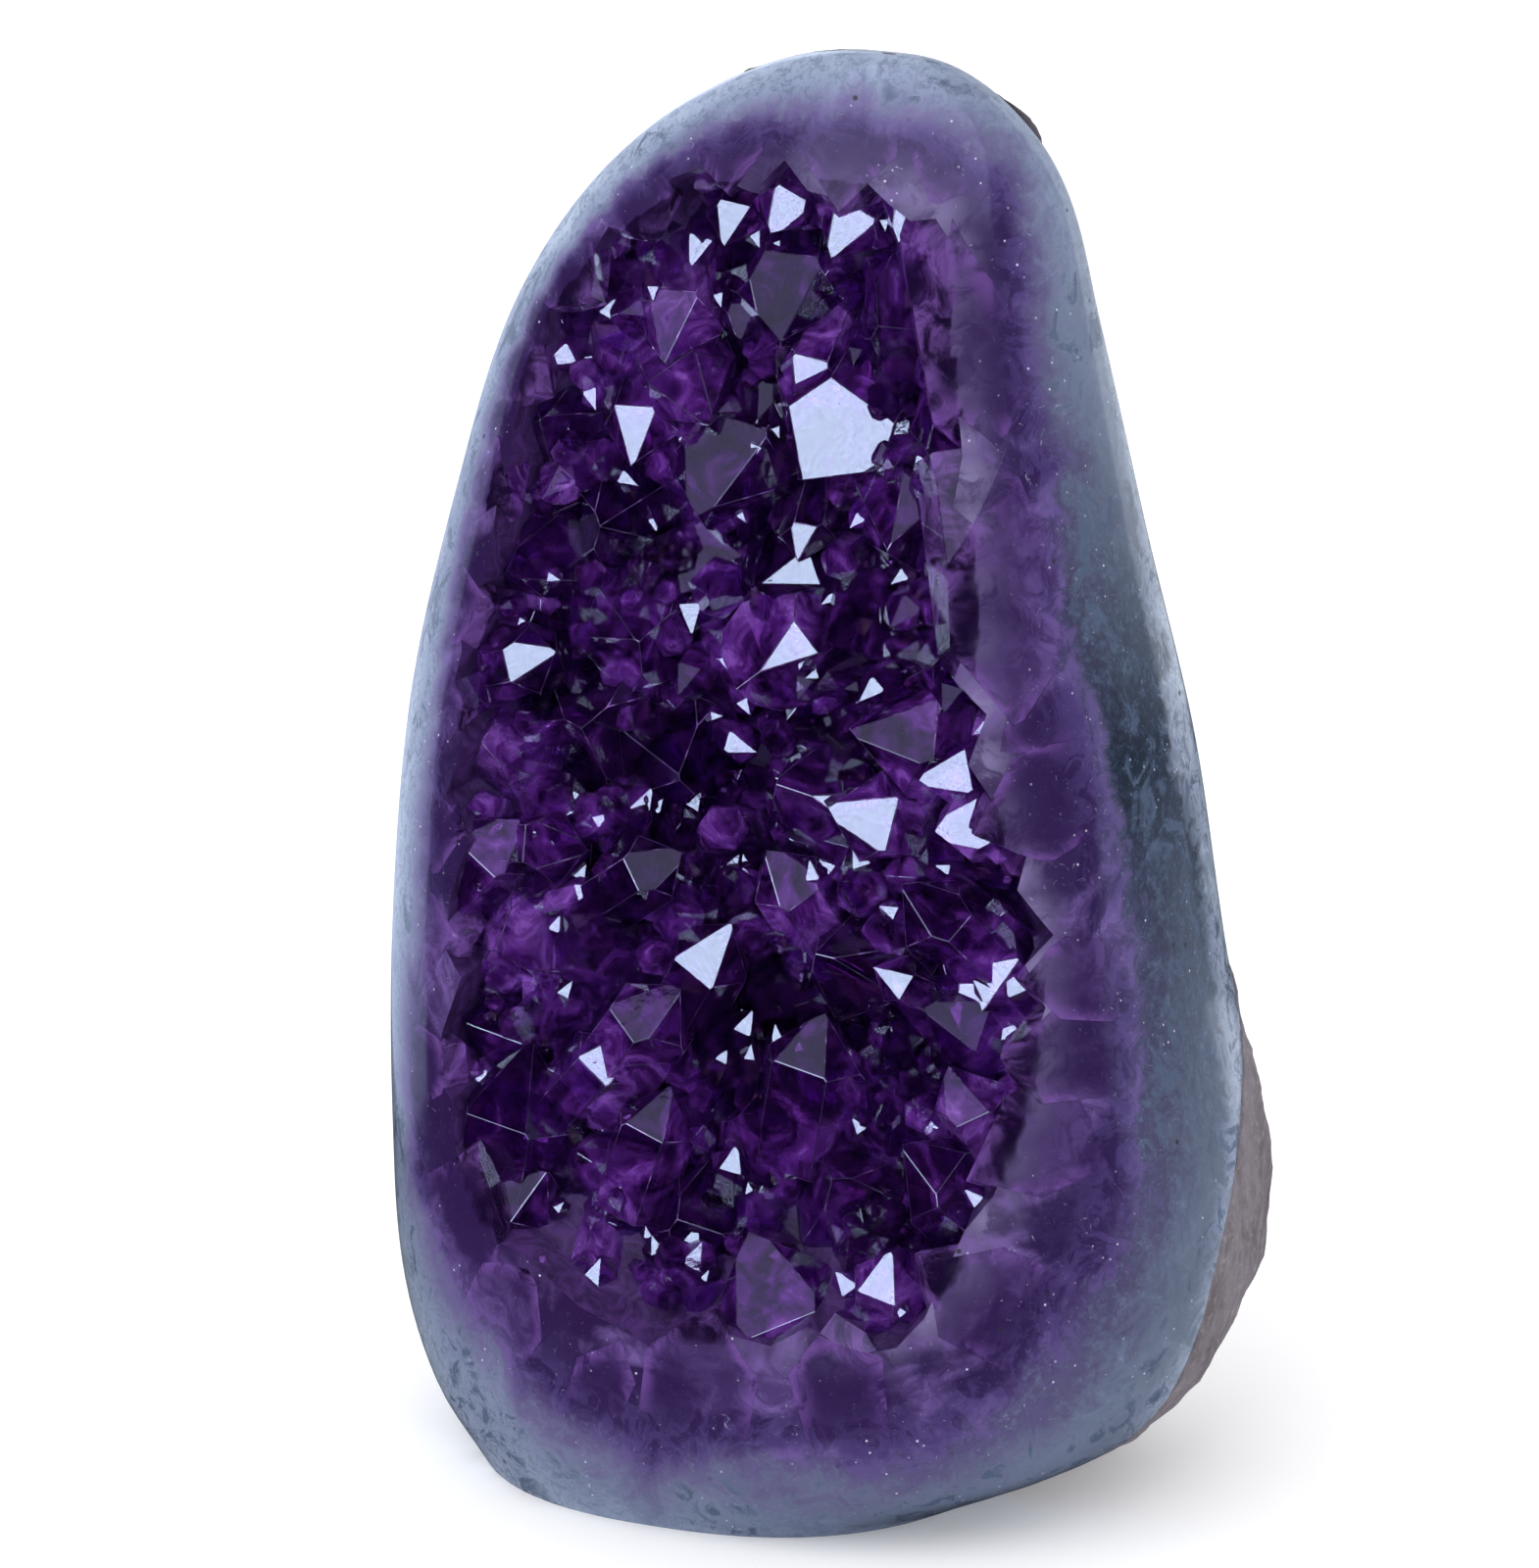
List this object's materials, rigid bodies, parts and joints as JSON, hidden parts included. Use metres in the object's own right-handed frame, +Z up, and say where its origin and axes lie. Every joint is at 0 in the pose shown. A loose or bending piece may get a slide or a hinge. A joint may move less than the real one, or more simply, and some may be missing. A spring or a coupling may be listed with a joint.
{
  "type": "amethyst geode",
  "caption": "Upright cut-base geode with a polished agate and quartz rim around a cavity of pointed amethyst crystals, rough rock at the back.",
  "frame": {"origin": "middle of the object's box in X and Y, at the cut base that it stands on", "axes": "+Z up, from the base to the top; -Y out of the cavity, to the front; +X to the right seen from the front"},
  "size_m": [0.0641, 0.0438, 0.105],
  "materials": {
    "agate_wall": "polished",
    "rock": "rough",
    "amethyst": "glossy"
  },
  "bodies": {
    "root": {"geode_wall": "agate_wall", "rock_crust": "rock", "crystal_01": "amethyst", "crystal_02": "amethyst", "crystal_03": "amethyst", "crystal_04": "amethyst", "crystal_05": "amethyst", "crystal_06": "amethyst", "crystal_07": "amethyst", "crystal_08": "amethyst", "crystal_09": "amethyst", "crystal_10": "amethyst", "crystal_11": "amethyst", "crystal_12": "amethyst", "crystal_13": "amethyst", "crystal_14": "amethyst", "crystal_15": "amethyst", "crystal_16": "amethyst", "crystal_17": "amethyst", "crystal_18": "amethyst", "crystal_19": "amethyst", "crystal_20": "amethyst", "crystal_21": "amethyst", "crystal_22": "amethyst", "crystal_23": "amethyst", "crystal_24": "amethyst", "crystal_25": "amethyst", "crystal_26": "amethyst", "crystal_27": "amethyst", "crystal_28": "amethyst", "crystal_29": "amethyst", "crystal_30": "amethyst", "crystal_31": "amethyst", "crystal_32": "amethyst", "crystal_33": "amethyst", "crystal_34": "amethyst", "crystal_35": "amethyst", "crystal_36": "amethyst", "crystal_37": "amethyst", "crystal_38": "amethyst", "crystal_39": "amethyst", "crystal_40": "amethyst", "crystal_41": "amethyst", "crystal_42": "amethyst", "crystal_43": "amethyst", "crystal_44": "amethyst", "crystal_45": "amethyst", "crystal_46": "amethyst", "crystal_47": "amethyst", "crystal_48": "amethyst", "crystal_49": "amethyst", "crystal_50": "amethyst", "crystal_51": "amethyst", "crystal_52": "amethyst", "crystal_53": "amethyst", "crystal_54": "amethyst", "crystal_55": "amethyst", "crystal_56": "amethyst", "crystal_57": "amethyst"}
  },
  "joints": []
}
